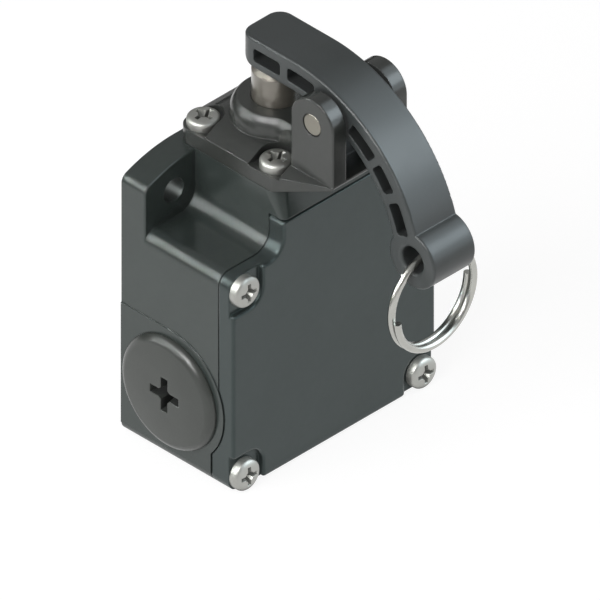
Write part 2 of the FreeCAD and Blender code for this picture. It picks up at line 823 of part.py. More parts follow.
def lever_band_solid():
    # The curved band of the lever: a flat tail, then an arc down to the ring eye.
    top = lever_under + lever_band
    tail = pivot_y + lever_tail
    inner = lever_radius - lever_band
    half = lever_width / 2

    def on_arc(radius, degrees):
        angle = math.radians(degrees)
        return vector(-half, bend_y - radius * math.sin(angle), bend_z + radius * math.cos(angle))

    corner = lever_tail_corner
    heel = lever_tail_round
    slant = heel * (1 - math.sqrt(0.5))
    outside = [on_arc(lever_radius, share * eye_angle) for share in (0, 0.5, 1)]
    inside = [on_arc(inner, share * eye_angle) for share in (1, 0.5, 0)]
    tail_top = vector(-half, tail, top)
    tail_end = vector(-half, tail, lever_under + heel)
    tail_round = vector(-half, tail - slant, lever_under + slant)
    tail_low = vector(-half, tail - heel, lever_under)
    edges = [
        Part.makeLine(tail_top, outside[0]),
        Part.Arc(*outside).toShape(),
        Part.makeLine(outside[2], inside[0]),
        Part.Arc(*inside).toShape(),
        Part.makeLine(inside[2], tail_low),
        Part.Arc(tail_low, tail_round, tail_end).toShape(),
        Part.makeLine(tail_end, tail_top),
    ]
    band = Part.Face(Part.Wire(edges)).extrude(vector(lever_width, 0, 0))
    front = eye_y - 2 * eye_radius
    plan = [(-half, front, 0), (half, front, 0), (half, tail, corner), (-half, tail, corner)]
    band = band.common(slab(plan, "z", bend_z, top))
    rims = [
        edge for edge in band.Edges
        if abs(edge.BoundBox.XMin - edge.BoundBox.XMax) < 0.01 and edge.Length > lever_band
    ]
    return band.makeFillet(lever_edge, rims)


def rounded_boss(diameter, y, z):
    # A short cylinder across the lever with both rims rounded.
    boss = rod("x", diameter, y, z, -lever_width / 2, lever_width / 2)
    return boss.makeFillet(lever_edge, [edge for edge in boss.Edges if edge.BoundBox.XLength < 0.01])


def arc_pocket(start, sweep):
    # A blind pocket in the right side of the lever that follows the arc.
    low = lever_radius - lever_band + pocket_inner_rim
    high = lever_radius - pocket_outer_rim
    far = lever_width / 2 + overcut
    loop = rounded_loop(rectangle(lever_web / 2, far, bend_z + low, bend_z + high), "y", bend_y)
    centre = vector(0, bend_y, bend_z)
    pocket = Part.Face(loop).revolve(centre, axis_directions["x"], sweep)
    pocket.rotate(centre, axis_directions["x"], start)
    return pocket


def round_ends(pocket):
    corners = [edge for edge in pocket.Edges if edge.BoundBox.XLength > lever_width / 4]
    return pocket.makeFillet(pocket_corner, corners)


def lever_pockets():
    low = lever_under + pocket_inner_rim
    high = lever_under + lever_band - pocket_outer_rim
    near = lever_web / 2
    far = lever_width / 2 + overcut
    tail_start = pivot_y + tail_pocket_start
    tail_end = tail_start + tail_pocket_length
    tail_pocket = slab(rectangle(tail_start, tail_end, low, high, pocket_corner), "x", near, far)
    bend_pocket = slab(rectangle(bend_y, bend_y + bend_pocket_length, low, high), "x", near, far)
    bend_pocket = bend_pocket.fuse(arc_pocket(0, bend_pocket_sweep)).removeSplitter()
    ends = [
        edge for edge in bend_pocket.Edges
        if edge.BoundBox.XLength > lever_width / 4 and abs(edge.CenterOfMass.y - bend_y) > 0.01
    ]
    pockets = [tail_pocket, bend_pocket.makeFillet(pocket_corner, ends)]
    for start, sweep in zip(arm_pocket_starts, arm_pocket_sweeps):
        pockets.append(round_ends(arc_pocket(start, sweep)))
    return [copy for pocket in pockets for copy in both_sides(pocket)]


def flared_bore():
    # The cut for the ring's eye: a plain bore whose two mouths open out in a quarter round.
    half = lever_width / 2
    radius = eye_bore / 2
    mouth = radius + eye_lip
    slant = eye_lip * (1 - math.sqrt(0.5))
    right = [(half + overcut, 0), (half + overcut, mouth), (half, mouth)]
    right += [(half - slant, radius + slant), (half - eye_lip, radius)]
    near = [vector(x, distance, 0) for x, distance in right]
    far = [vector(-x, distance, 0) for x, distance in right]
    edges = [
        Part.makeLine(near[0], near[1]),
        Part.makeLine(near[1], near[2]),
        Part.Arc(near[2], near[3], near[4]).toShape(),
        Part.makeLine(near[4], far[4]),
        Part.Arc(far[4], far[3], far[2]).toShape(),
        Part.makeLine(far[2], far[1]),
        Part.makeLine(far[1], far[0]),
        Part.makeLine(far[0], near[0]),
    ]
    bore = Part.Face(Part.Wire(edges)).revolve(vector(0, 0, 0), axis_directions["x"], 360)
    bore.translate(vector(0, eye_y, eye_z))
    return bore


def lever():
    half = lever_width / 2
    hub = rounded_boss(lever_hub, pivot_y, pivot_z)
    eye = rounded_boss(2 * eye_radius, eye_y, eye_z)
    body = lever_band_solid().fuse([hub, eye]).cut(lever_pockets())
    pin_bore = pin_diameter + 2 * running_clearance
    bores = [rod("x", pin_bore, pivot_y, pivot_z, -half - overcut, half + overcut), flared_bore()]
    return body.cut(bores).removeSplitter()


def split_ring():
    # One and a half turns of round wire: single where it passes through the eye, double below.
    mean = ring_diameter - ring_wire
    pitch = ring_wire * ring_pitch_ratio
    ring = wound_wire(ring_wire, mean, -pitch, ring_start_angle, ring_sweep)
    middle = ring_start_angle + ring_sweep / 2
    ring.rotate(vector(0, 0, 0), axis_directions["x"], 90)
    ring.translate(vector(0, eye_y - pitch * middle / 360, eye_z - ring_drop - mean / 2))
    return ring


# Heights inside the contact block
carriage_top = block_top - block_wall - carriage_gap
carriage_low = carriage_top - carriage_height
window_top = carriage_top - carriage_window_drop
window_low = window_top - carriage_window_height
closed_tip_low = window_top + contact_gap
open_tip_high = window_low - plunger_travel - carriage_gap
upper_terminal_z = closed_tip_low + contact_strip + terminal_pad_height / 2
lower_terminal_z = open_tip_high - contact_strip - terminal_pad_height / 2
terminal_x = block_width / 2 - terminal_inset
terminal_spots = [(side * terminal_x, z) for side in (-1, 1) for z in (upper_terminal_z, lower_terminal_z)]
pad_front = block_front - contact_strip
clamp_front = pad_front - terminal_clamp


def contact_strip_solid(tip_low, pad_low):
    # A right-hand terminal strip: a flat tip that reaches into the channel and a pad bent along the front.
    near = contact_tip_reach
    far = terminal_x + terminal_pad_width / 2
    tip_high = tip_low + contact_strip
    tip = slab(rectangle(near, far, pad_front, block_front + contact_strip_length), "z", tip_low, tip_high)
    pad_near = far - terminal_pad_width
    pad = slab(rectangle(pad_near, far, pad_low, pad_low + terminal_pad_height), "y", pad_front, block_front)
    step = slab(rectangle(near, pad_near, tip_low, tip_high), "y", pad_front, block_front + block_wall)
    strip = tip.fuse(pad).cut(step)
    hole = terminal_screw_diameter + 2 * through_clearance
    z = pad_low + terminal_pad_height / 2
    return strip.cut(rod("y", hole, terminal_x, z, pad_front - overcut, block_front)).removeSplitter()


def closed_contact_strip():
    return contact_strip_solid(closed_tip_low, closed_tip_low + contact_strip)


def open_contact_strip():
    tip_low = open_tip_high - contact_strip
    return contact_strip_solid(tip_low, tip_low - terminal_pad_height)


def fixed_contacts_closed():
    return Part.makeCompound(both_sides(closed_contact_strip()))


def fixed_contacts_open():
    return Part.makeCompound(both_sides(open_contact_strip()))


def contact_block_base():
    half = block_width / 2
    block = slab(rectangle(-half, half, block_low, block_top, edge_break), "y", block_front, block_back)
    lug_half = lug_height / 2
    lug_plate = rectangle(half - overcut, half + lug_reach, lug_z - lug_half, lug_z + lug_half, edge_break)
    lug = slab(lug_plate, "y", lug_front, post_front)
    block = block.fuse(both_sides(lug))
    channel = rectangle(-channel_width / 2, channel_width / 2, block_low + block_wall, block_top - block_wall)
    cuts = [slab(channel, "y", block_front - overcut, block_front + channel_depth)]
    stem_hole = carriage_stem + 2 * running_clearance
    cuts.append(rod("z", stem_hole, 0, axis_y, block_top - block_wall - overcut, block_top + overcut))
    cuts += both_sides(closed_contact_strip()) + both_sides(open_contact_strip())
    tapped = terminal_screw_diameter + 2 * thread_clearance
    terminal_end = clamp_front + terminal_screw_length + thread_clearance
    cuts += [rod("y", tapped, x, z, block_front - overcut, terminal_end) for x, z in terminal_spots]
    clear = block_screw_diameter + 2 * through_clearance
    cuts += both_sides(rod("y", clear, lug_x, lug_z, lug_front - overcut, post_front + overcut))
    return block.cut(cuts).removeSplitter()


def contact_block_cover():
    half = channel_width / 2 + block_cover_overlap
    plate = rectangle(-half, half, block_low, block_top, edge_break)
    return slab(plate, "y", block_front - block_cover_thickness, block_front)


def contact_block_screws():
    head = block_screw_head
    screw = pan_screw(block_screw_diameter, block_screw_length, head, small_screw_rim, small_screw_dome)
    return Part.makeCompound(both_sides(facing_front(screw, lug_x, lug_front, lug_z)))


def terminal_clamps():
    clamps = []
    for x, z in terminal_spots:
        half = terminal_pad_width / 2
        corners = rectangle(x - half, x + half, z - half, z + half, edge_break)
        plate = slab(corners, "y", clamp_front, pad_front)
        hole = terminal_screw_diameter + 2 * through_clearance
        clamps.append(plate.cut(rod("y", hole, x, z, clamp_front, pad_front)))
    return Part.makeCompound(clamps)


def terminal_screws():
    head = terminal_screw_head
    screw = pan_screw(terminal_screw_diameter, terminal_screw_length, head, small_screw_rim, small_screw_dome)
    return Part.makeCompound([facing_front(screw, x, clamp_front, z) for x, z in terminal_spots])


def earth_clamp():
    half = earth_clamp_size / 2
    low = earth_front - earth_clamp_thickness
    corners = rectangle(earth_x - half, earth_x + half, earth_z - half, earth_z + half, edge_break)
    plate = slab(corners, "y", low, earth_front)
    hole = cover_screw_diameter + 2 * through_clearance
    return plate.cut(rod("y", hole, earth_x, earth_z, low, earth_front))


def earth_screw():
    return facing_front(main_screw(earth_screw_length), earth_x, earth_front - earth_clamp_thickness, earth_z)


def contact_carriage():
    # The moulded slide: a stem up to the plunger, a body with one window for both bridges.
    half = carriage_width / 2
    plan = rectangle(-half, half, axis_y - half, axis_y + half, edge_break)
    body = slab(plan, "z", carriage_low, carriage_top)
    stem = rod("z", carriage_stem, 0, axis_y, carriage_top, plunger_foot - rest_gap)
    window_half = carriage_window_width / 2
    opening = rectangle(axis_y - window_half, axis_y + window_half, window_low, window_top)
    window = slab(opening, "x", -half, half)
    return body.fuse(stem).cut(window).removeSplitter()


def contact_bridges():
    half = bridge_length / 2
    bar = rectangle(-half, half, axis_y - bridge_width / 2, axis_y + bridge_width / 2, edge_break)
    upper = slab(bar, "z", window_top - bridge_thickness, window_top)
    lower = slab(bar, "z", window_low, window_low + bridge_thickness)
    return Part.makeCompound([upper, lower])


def bridge_spring():
    low = window_low + bridge_thickness
    high = window_top - bridge_thickness
    return coil(bridge_spring_wire, bridge_spring_diameter, bridge_spring_turns, low, high, axis_y)


def carriage_spring():
    low = block_low + block_wall
    turns = carriage_spring_turns
    return coil(carriage_spring_wire, carriage_spring_diameter, turns, low, carriage_low, axis_y)


left_plug = conduit_plug()
pieces = {
    "housing": housing(),
    "front_cover": front_cover(),
    "cover_gasket": cover_gasket(),
    "cover_screws": cover_screws(),
    "conduit_plug_left": left_plug,
    "conduit_plug_right": both_sides(left_plug)[1],
    "plug_seals": plug_seals(),
    "head_body": head_body(),
    "head_gasket": head_gasket(),
    "head_screws": head_screws(),
    "plunger_bush": plunger_bush(),
    "plunger_seal": plunger_seal(),
    "pivot_pin": pivot_pin(),
    "plunger": plunger(),
    "plunger_spring": plunger_spring(),
    "lever": lever(),
    "split_ring": split_ring(),
    "contact_block_base": contact_block_base(),
    "contact_block_cover": contact_block_cover(),
    "contact_block_screws": contact_block_screws(),
    "fixed_contacts_closed": fixed_contacts_closed(),
    "fixed_contacts_open": fixed_contacts_open(),
    "terminal_clamps": terminal_clamps(),
    "terminal_screws": terminal_screws(),
    "earth_clamp": earth_clamp(),
    "earth_screw": earth_screw(),
    "contact_carriage": contact_carriage(),
    "contact_bridges": contact_bridges(),
    "bridge_spring": bridge_spring(),
    "carriage_spring": carriage_spring(),
}

os.makedirs("parts", exist_ok=True)
for name, shape in pieces.items():
    state = "valid" if shape.isValid() else "invalid"
    print(name, len(shape.Solids), "solids", round(shape.Volume, 2), "mm3", state)
    shape.exportStep("parts/" + name + ".step")
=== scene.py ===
import json
import math

import bmesh
import bpy
from mathutils import Matrix, Vector


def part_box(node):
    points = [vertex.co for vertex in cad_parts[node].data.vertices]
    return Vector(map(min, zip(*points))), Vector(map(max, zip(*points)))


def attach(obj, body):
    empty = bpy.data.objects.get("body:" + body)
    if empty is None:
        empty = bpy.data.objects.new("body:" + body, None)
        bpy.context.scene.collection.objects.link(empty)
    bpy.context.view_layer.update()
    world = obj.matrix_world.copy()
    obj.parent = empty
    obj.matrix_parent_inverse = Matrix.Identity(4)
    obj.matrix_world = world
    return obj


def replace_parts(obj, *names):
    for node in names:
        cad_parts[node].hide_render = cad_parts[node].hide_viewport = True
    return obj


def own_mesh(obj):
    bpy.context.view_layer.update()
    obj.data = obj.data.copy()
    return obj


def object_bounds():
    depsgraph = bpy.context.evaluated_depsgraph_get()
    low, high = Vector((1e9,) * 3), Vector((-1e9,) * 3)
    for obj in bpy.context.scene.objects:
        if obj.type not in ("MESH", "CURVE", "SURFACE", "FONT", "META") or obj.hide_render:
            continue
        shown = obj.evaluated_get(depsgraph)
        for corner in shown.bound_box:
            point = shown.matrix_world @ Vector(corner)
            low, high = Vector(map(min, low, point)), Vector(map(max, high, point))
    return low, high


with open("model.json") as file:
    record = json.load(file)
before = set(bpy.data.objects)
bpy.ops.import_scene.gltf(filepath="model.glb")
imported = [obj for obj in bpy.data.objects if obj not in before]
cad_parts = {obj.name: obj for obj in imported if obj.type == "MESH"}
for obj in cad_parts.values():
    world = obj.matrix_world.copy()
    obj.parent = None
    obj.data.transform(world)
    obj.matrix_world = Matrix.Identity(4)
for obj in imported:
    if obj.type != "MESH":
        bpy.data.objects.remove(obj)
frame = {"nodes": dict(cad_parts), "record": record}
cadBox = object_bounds()
nodes = frame["nodes"]
slotOf = {part["node"]: part["material_slot"] for part in frame["record"]["subparts"]}
scene = bpy.context.scene
scene.view_settings.view_transform = "Standard"
millimetre = 0.001  # the added pieces are worked in millimetres
quarterTurn = math.pi / 2
fullTurn = 2 * math.pi


cameraView = {
    "target": Vector((0.0, -0.02148, -0.0289)),
    "towardsCamera": Vector((-1, -1, 1)),  # an isometric parallel view
    "distance": 0.5,
    "orthoScale": 0.11756,
}


def placeCamera(view):
    data = bpy.data.cameras.new("photoCamera")
    data.type = "ORTHO"
    data.ortho_scale = view["orthoScale"]
    camera = bpy.data.objects.new("photoCamera", data)
    outward = view["towardsCamera"].normalized()
    camera.location = view["target"] + outward * view["distance"]
    camera.rotation_euler = outward.to_track_quat("Z", "Y").to_euler()
    scene.collection.objects.link(camera)
    scene.camera = camera


placeCamera(cameraView)
print("camera placed")


# Helpers for node trees
def addNode(tree, kind, links=None, **settings):
    node = tree.nodes.new(kind)
    for name, value in settings.items():
        setattr(node, name, value)
    for socket, source in (links or {}).items():
        if isinstance(source, bpy.types.NodeSocket):
            tree.links.new(source, node.inputs[socket])
        else:
            node.inputs[socket].default_value = source
    return node


def calculate(tree, operation, *values):
    return addNode(tree, "ShaderNodeMath", dict(enumerate(values)), operation=operation).outputs[0]


def remap(tree, value, given, wanted=(0.0, 1.0), **settings):
    ranges = {"From Min": given[0], "From Max": given[1], "To Min": wanted[0], "To Max": wanted[1]}
    return addNode(tree, "ShaderNodeMapRange", {"Value": value, **ranges}, **settings).outputs["Result"]


def mixColors(tree, share, plain, other):
    # A Mix node's colours are its inputs 6 and 7 and its output 2
    return addNode(tree, "ShaderNodeMix", {0: share, 6: plain, 7: other}, data_type="RGBA").outputs[2]


def noise(tree, place, scale, detail, roughness):
    links = {"Vector": place, "Scale": scale, "Detail": detail, "Roughness": roughness}
    return addNode(tree, "ShaderNodeTexNoise", links).outputs["Fac"]


def newGroup(name, inputs, outputs):
    group = bpy.data.node_groups.new(name, "ShaderNodeTree")
    for label, kind, value in inputs:
        socket = group.interface.new_socket(label, in_out="INPUT", socket_type=kind)
        socket.default_value = value
    for label, kind in outputs:
        group.interface.new_socket(label, in_out="OUTPUT", socket_type=kind)
    return group, addNode(group, "NodeGroupInput"), addNode(group, "NodeGroupOutput")


def useGroup(tree, group, links):
    return addNode(tree, "ShaderNodeGroup", links, node_tree=group)


def emptyTree(owner):
    owner.use_nodes = True
    owner.node_tree.nodes.clear()
    return owner.node_tree


def grey(level):
    return (level, level, level, 1)


def shadeOf(color, factor):
    return tuple(min(channel * factor, 1.0) for channel in color) + (1.0,)


# Helpers for meshes
def shapeObject(name, shape):
    mesh = bpy.data.meshes.new(name)
    shape.to_mesh(mesh)
    shape.free()
    made = bpy.data.objects.new(name, mesh)
    scene.collection.objects.link(made)
    return made


def nodeBox(node):
    return [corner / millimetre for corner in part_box(node)]


# Stage: a white sweep below a dim ceiling, with soft boxes to either side
studio = {
    "sweepGlow": 1.0,
    "ceilingGlow": 0.4,
    "glowLow": 0.0,
    "glowHigh": 0.1,
    "floorSize": 6.0,
    "floorWhite": 0.88,  # what the camera and reflections see
    "floorShade": 0.2,  # how much of the shadow shows on that white
    "floorBounce": 0.8,  # what lights the object from below
    "flagRadius": 0.25,  # black cards stand behind the object and darken its far edges
    "flagLow": -0.05,
    "flagHigh": 0.05,
    "flagSides": 48,
    "flagGrey": 0.02,
}
# A box lights either the colour of a surface or its sheen
softBoxes = {
    "keyBox": {
        "towards": (-0.86, 0.0, 0.51), "across": (0, 1, 0), "distance": 0.7, "size": (0.6, 0.6),
        "glow": 3.2, "tint": (1, 1, 1), "lights": "colour"},
    "backLeftBox": {
        "towards": (-0.685, 0.577, 0.445), "across": (0.6, 0, 0.8), "distance": 0.55, "size": (0.44, 0.4),
        "glow": 4.2, "tint": (0.95, 1, 0.985), "lights": "sheen", "shadow": False},
    "topLeftBox": {
        "towards": (-0.75, -0.08, 0.65), "across": (0, 1, 0), "distance": 0.6, "size": (0.3, 0.3),
        "glow": 10.0, "tint": (1, 1, 1), "lights": "sheen", "shadow": False},
    "frontRightBox": {
        "towards": (0.577, -0.577, 0.577), "across": (1, 1, 0), "distance": 0.6, "size": (0.28, 0.28),
        "glow": 3.8, "tint": (0.86, 0.98, 1.05), "lights": "sheen"},
    "frontRightVeil": {
        "towards": (0.577, -0.577, 0.577), "across": (1, 1, 0), "distance": 0.62, "size": (0.8, 0.8),
        "glow": 2.0, "tint": (0.86, 0.98, 1.05), "lights": "sheen"},
}


def buildWorld(look):
    world = bpy.data.worlds.new("studioWorld")
    tree = emptyTree(world)
    direction = addNode(tree, "ShaderNodeTexCoord")
    split = addNode(tree, "ShaderNodeSeparateXYZ", {"Vector": direction.outputs["Generated"]})
    fade = remap(
        tree, split.outputs["Z"], (look["glowLow"], look["glowHigh"]), (look["sweepGlow"], look["ceilingGlow"]),
        interpolation_type="SMOOTHSTEP")
    sky = addNode(tree, "ShaderNodeBackground", {"Color": grey(1), "Strength": fade})
    addNode(tree, "ShaderNodeOutputWorld", {"Surface": sky.outputs["Background"]})
    scene.world = world


def buildFloor(look):
    shape = bmesh.new()
    bmesh.ops.create_grid(shape, x_segments=1, y_segments=1, size=look["floorSize"] / 2)
    bmesh.ops.translate(shape, vec=(0, 0, cadBox[0].z), verts=shape.verts)
    floor = shapeObject("floor", shape)
    paper = bpy.data.materials.new("whiteSweep")
    tree = emptyTree(paper)
    path = addNode(tree, "ShaderNodeLightPath")
    seen = calculate(tree, "MAXIMUM", path.outputs["Is Camera Ray"], path.outputs["Is Glossy Ray"])
    shown = calculate(tree, "MAXIMUM", seen, path.outputs["Is Transmission Ray"])
    lit = addNode(tree, "ShaderNodeBsdfDiffuse", {"Color": grey(look["floorBounce"])})
    white = addNode(tree, "ShaderNodeEmission", {"Color": grey(1), "Strength": look["floorWhite"]})
    shade = addNode(tree, "ShaderNodeBsdfDiffuse", {"Color": grey(look["floorShade"])})
    bright = addNode(tree, "ShaderNodeAddShader", {0: white.outputs[0], 1: shade.outputs[0]})
    mixed = addNode(tree, "ShaderNodeMixShader", {0: shown, 1: lit.outputs[0], 2: bright.outputs[0]})
    addNode(tree, "ShaderNodeOutputMaterial", {"Surface": mixed.outputs[0]})
    floor.data.materials.append(paper)


def standFlags(look):
    shape = bmesh.new()
    bmesh.ops.create_cone(
        shape, cap_ends=False, segments=look["flagSides"], radius1=look["flagRadius"],
        radius2=look["flagRadius"], depth=look["flagHigh"] - look["flagLow"])
    bmesh.ops.bisect_plane(
        shape, geom=shape.verts[:] + shape.edges[:] + shape.faces[:], plane_co=(0, 0, 0),
        plane_no=(0, 1, 0), clear_inner=True)
    bmesh.ops.translate(shape, vec=(0, 0, (look["flagHigh"] + look["flagLow"]) / 2), verts=shape.verts)
    flags = shapeObject("edgeFlags", shape)
    flags.visible_camera = False
    flags.visible_diffuse = False
    flags.visible_shadow = False
    felt = bpy.data.materials.new("blackFelt")
    tree = emptyTree(felt)
    dark = addNode(tree, "ShaderNodeBsdfDiffuse", {"Color": grey(look["flagGrey"])})
    addNode(tree, "ShaderNodeOutputMaterial", {"Surface": dark.outputs[0]})
    flags.data.materials.append(felt)


def hangSoftBox(name, box):
    data = bpy.data.lights.new(name, "AREA")
    data.shape = "RECTANGLE"
    data.size, data.size_y = box["size"]
    data.color = box["tint"]
    data.energy = box["glow"] * math.pi * data.size * data.size_y  # an even glow over the box
    data.use_shadow = box.get("shadow", True)
    data.cycles.use_multiple_importance_sampling = data.use_shadow
    lamp = bpy.data.objects.new(name, data)
    lamp.visible_diffuse = box["lights"] != "sheen"
    lamp.visible_glossy = box["lights"] != "colour"
    towards = Vector(box["towards"]).normalized()
    side = towards.cross(Vector(box["across"])).normalized()
    lamp.location = cameraView["target"] + towards * box["distance"]
    lamp.rotation_euler = Matrix((side.cross(towards), side, towards)).transposed().to_euler()
    scene.collection.objects.link(lamp)


buildWorld(studio)
buildFloor(studio)
standFlags(studio)
for boxName, box in softBoxes.items():
    hangSoftBox(boxName, box)
print("stage built with", len(softBoxes), "soft boxes")


# Fine grain over broad patches, for paint and moulded surfaces
grainLook = {
    "fineDetail": 3.0,
    "fineRoughness": 0.55,
    "patchDetail": 4.0,
    "patchRoughness": 0.6,
    "fineShare": 0.35,
    "toneRange": (0.45, 0.9),
}


def buildCastGrain(look):
    group, given, result = newGroup(
        "castGrain",
        [("Vector", "NodeSocketVector", (0, 0, 0)), ("Scale", "NodeSocketFloat", 900.0),
         ("Patch", "NodeSocketFloat", 60.0)],
        [("Height", "NodeSocketFloat"), ("Tone", "NodeSocketFloat")],
    )
    place = given.outputs["Vector"]
    fine = noise(group, place, given.outputs["Scale"], look["fineDetail"], look["fineRoughness"])
    patches = noise(group, place, given.outputs["Patch"], look["patchDetail"], look["patchRoughness"])
    blend = calculate(group, "MULTIPLY_ADD", fine, look["fineShare"], patches)
    group.links.new(fine, result.inputs["Height"])
    group.links.new(remap(group, blend, look["toneRange"]), result.inputs["Tone"])
    return group


# Marks of turning and drawing, for bare metal
marksLook = {
    "lineDetail": 2.0,
    "lineRoughness": 0.7,
    "cloudScale": 220.0,
    "cloudDetail": 3.0,
    "cloudRoughness": 0.5,
    "lineShare": 0.4,
    "toneRange": (0.45, 0.95),
}


def buildTurnMarks(look):
    group, given, result = newGroup(
        "turnMarks",
        [("Vector", "NodeSocketVector", (0, 0, 0)), ("Scale", "NodeSocketFloat", 4000.0)],
        [("Height", "NodeSocketFloat"), ("Tone", "NodeSocketFloat")],
    )
    place = given.outputs["Vector"]
    lines = noise(group, place, given.outputs["Scale"], look["lineDetail"], look["lineRoughness"])
    cloud = noise(group, place, look["cloudScale"], look["cloudDetail"], look["cloudRoughness"])
    blend = calculate(group, "MULTIPLY_ADD", lines, look["lineShare"], cloud)
    group.links.new(lines, result.inputs["Height"])
    group.links.new(remap(group, blend, look["toneRange"]), result.inputs["Tone"])
    return group


# Painted edge highlight: paler base colour on edges, where the rounded normal leaves that of the flat face
edgeHighlightRange = (0.985, 0.8)


def buildPaintedEdgeHighlight(agreement):
    group, given, result = newGroup(
        "paintedEdgeHighlight",
        [("Round Normal", "NodeSocketVector", (0, 0, 1)), ("Break Up", "NodeSocketFloat", 0.5),
         ("Amount", "NodeSocketFloat", 1.0)],
        [("Mask", "NodeSocketFloat")],
    )
    flat = addNode(group, "ShaderNodeNewGeometry")
    agree = addNode(
        group, "ShaderNodeVectorMath", {0: given.outputs["Round Normal"], 1: flat.outputs["True Normal"]},
        operation="DOT_PRODUCT")
    edge = remap(group, agree.outputs["Value"], agreement)
    brokenHighlight = calculate(group, "MULTIPLY", edge, given.outputs["Break Up"])
    scaled = calculate(group, "MULTIPLY", brokenHighlight, given.outputs["Amount"])
    group.links.new(scaled, result.inputs["Mask"])
    return group


# Painted shade: darker base colour inside recesses and pockets, from an ambient occlusion mask, with duller
# gloss there too
recessLook = {"rays": 8, "openness": (0.62, 0.25)}


def buildPaintedRecessShade(look):
    group, given, result = newGroup(
        "paintedRecessShade",
        [("Reach", "NodeSocketFloat", 0.003), ("Amount", "NodeSocketFloat", 1.0)],
        [("Depth", "NodeSocketFloat")],
    )
    enclosed = addNode(
        group, "ShaderNodeAmbientOcclusion", {"Distance": given.outputs["Reach"]}, samples=look["rays"])
    depth = remap(group, enclosed.outputs["AO"], look["openness"])
    group.links.new(calculate(group, "MULTIPLY", depth, given.outputs["Amount"]), result.inputs["Depth"])
    return group


castGrain = buildCastGrain(grainLook)
turnMarks = buildTurnMarks(marksLook)
paintedEdgeHighlight = buildPaintedEdgeHighlight(edgeHighlightRange)
paintedRecessShade = buildPaintedRecessShade(recessLook)


# What a finish has where it doesn't say otherwise
plainFinish = {
    "metallic": 0.0,
    "coat": 0.0,
    "coatRoughness": 0.05,
    "glossTint": (1, 1, 1),
    "edgeRays": 6,
    # The next two entries set the painted edge highlight
    "edgeHighlight": 0.0,
    "edgeHighlightFactor": 2.2,
    # The next four entries set the painted shade and the duller gloss in recesses
    "reach": 0.004,
    "paintedShadeAmount": 0.8,
    "paintedShadeTone": 0.15,
    "recessDull": 0.5,
}


def startMaterial(name, finish):
    material = bpy.data.materials.new(name)
    tree = emptyTree(material)
    shader = addNode(tree, "ShaderNodeBsdfPrincipled", {
        "Metallic": finish["metallic"], "Coat Weight": finish["coat"],
        "Coat Roughness": finish["coatRoughness"], "Specular Tint": shadeOf(finish["glossTint"], 1)})
    addNode(tree, "ShaderNodeOutputMaterial", {"Surface": shader.outputs["BSDF"]})
    place = addNode(tree, "ShaderNodeTexCoord")
    return material, tree, shader, place.outputs["Object"]


def finishSurface(tree, shader, finish, grain):
    # Rounded edges, tone, roughness, fine relief, a painted edge highlight and painted shade in recesses, which
    # every finish here has in its own amounts
    color, spread = finish["color"], finish["spread"]
    roughness, glossSpread = finish["roughness"], finish["glossSpread"]
    tone = grain.outputs["Tone"]
    bevel = addNode(tree, "ShaderNodeBevel", {"Radius": finish["edge"]}, samples=finish["edgeRays"])
    rounded = bevel.outputs["Normal"]
    edgeHighlight = useGroup(tree, paintedEdgeHighlight, {"Round Normal": rounded, "Break Up": tone, "Amount": finish["edgeHighlight"]})
    recess = useGroup(tree, paintedRecessShade, {"Reach": finish["reach"], "Amount": finish["paintedShadeAmount"]})
    varied = mixColors(tree, tone, shadeOf(color, 1 - spread), shadeOf(color, 1 + spread))
    # Painted highlight: edges take a paler base colour
    edged = mixColors(tree, edgeHighlight.outputs["Mask"], varied, shadeOf(color, finish["edgeHighlightFactor"]))
    # Painted shade: the base colour darkens inside recesses and pockets
    shadedInRecesses = mixColors(tree, recess.outputs["Depth"], edged, shadeOf(color, finish["paintedShadeTone"]))
    gloss = remap(tree, tone, (0.0, 1.0), (roughness - glossSpread, roughness + glossSpread))
    duller = calculate(tree, "MULTIPLY_ADD", recess.outputs["Depth"], finish["recessDull"], gloss)
    relief = addNode(tree, "ShaderNodeBump", {
        "Strength": finish["relief"], "Distance": finish["depth"], "Height": grain.outputs["Height"],
        "Normal": rounded})
    tree.links.new(shadedInRecesses, shader.inputs["Base Color"])
    tree.links.new(duller, shader.inputs["Roughness"])
    tree.links.new(relief.outputs["Normal"], shader.inputs["Normal"])


def grainedMaterial(name, ownFinish):
    finish = {**plainFinish, **ownFinish}
    material, tree, shader, place = startMaterial(name, finish)
    grain = useGroup(tree, castGrain, {"Vector": place, "Scale": finish["grain"], "Patch": finish["patch"]})
    finishSurface(tree, shader, finish, grain)
    return material


def metalMaterial(name, ownFinish):
    finish = {**plainFinish, "metallic": 1.0, **ownFinish}
    material, tree, shader, place = startMaterial(name, finish)
    stretch = addNode(tree, "ShaderNodeMapping", {"Vector": place, "Scale": finish["lines"]})
    marks = useGroup(tree, turnMarks, {"Vector": stretch.outputs["Vector"], "Scale": finish["grain"]})
    finishSurface(tree, shader, finish, marks)
    return material


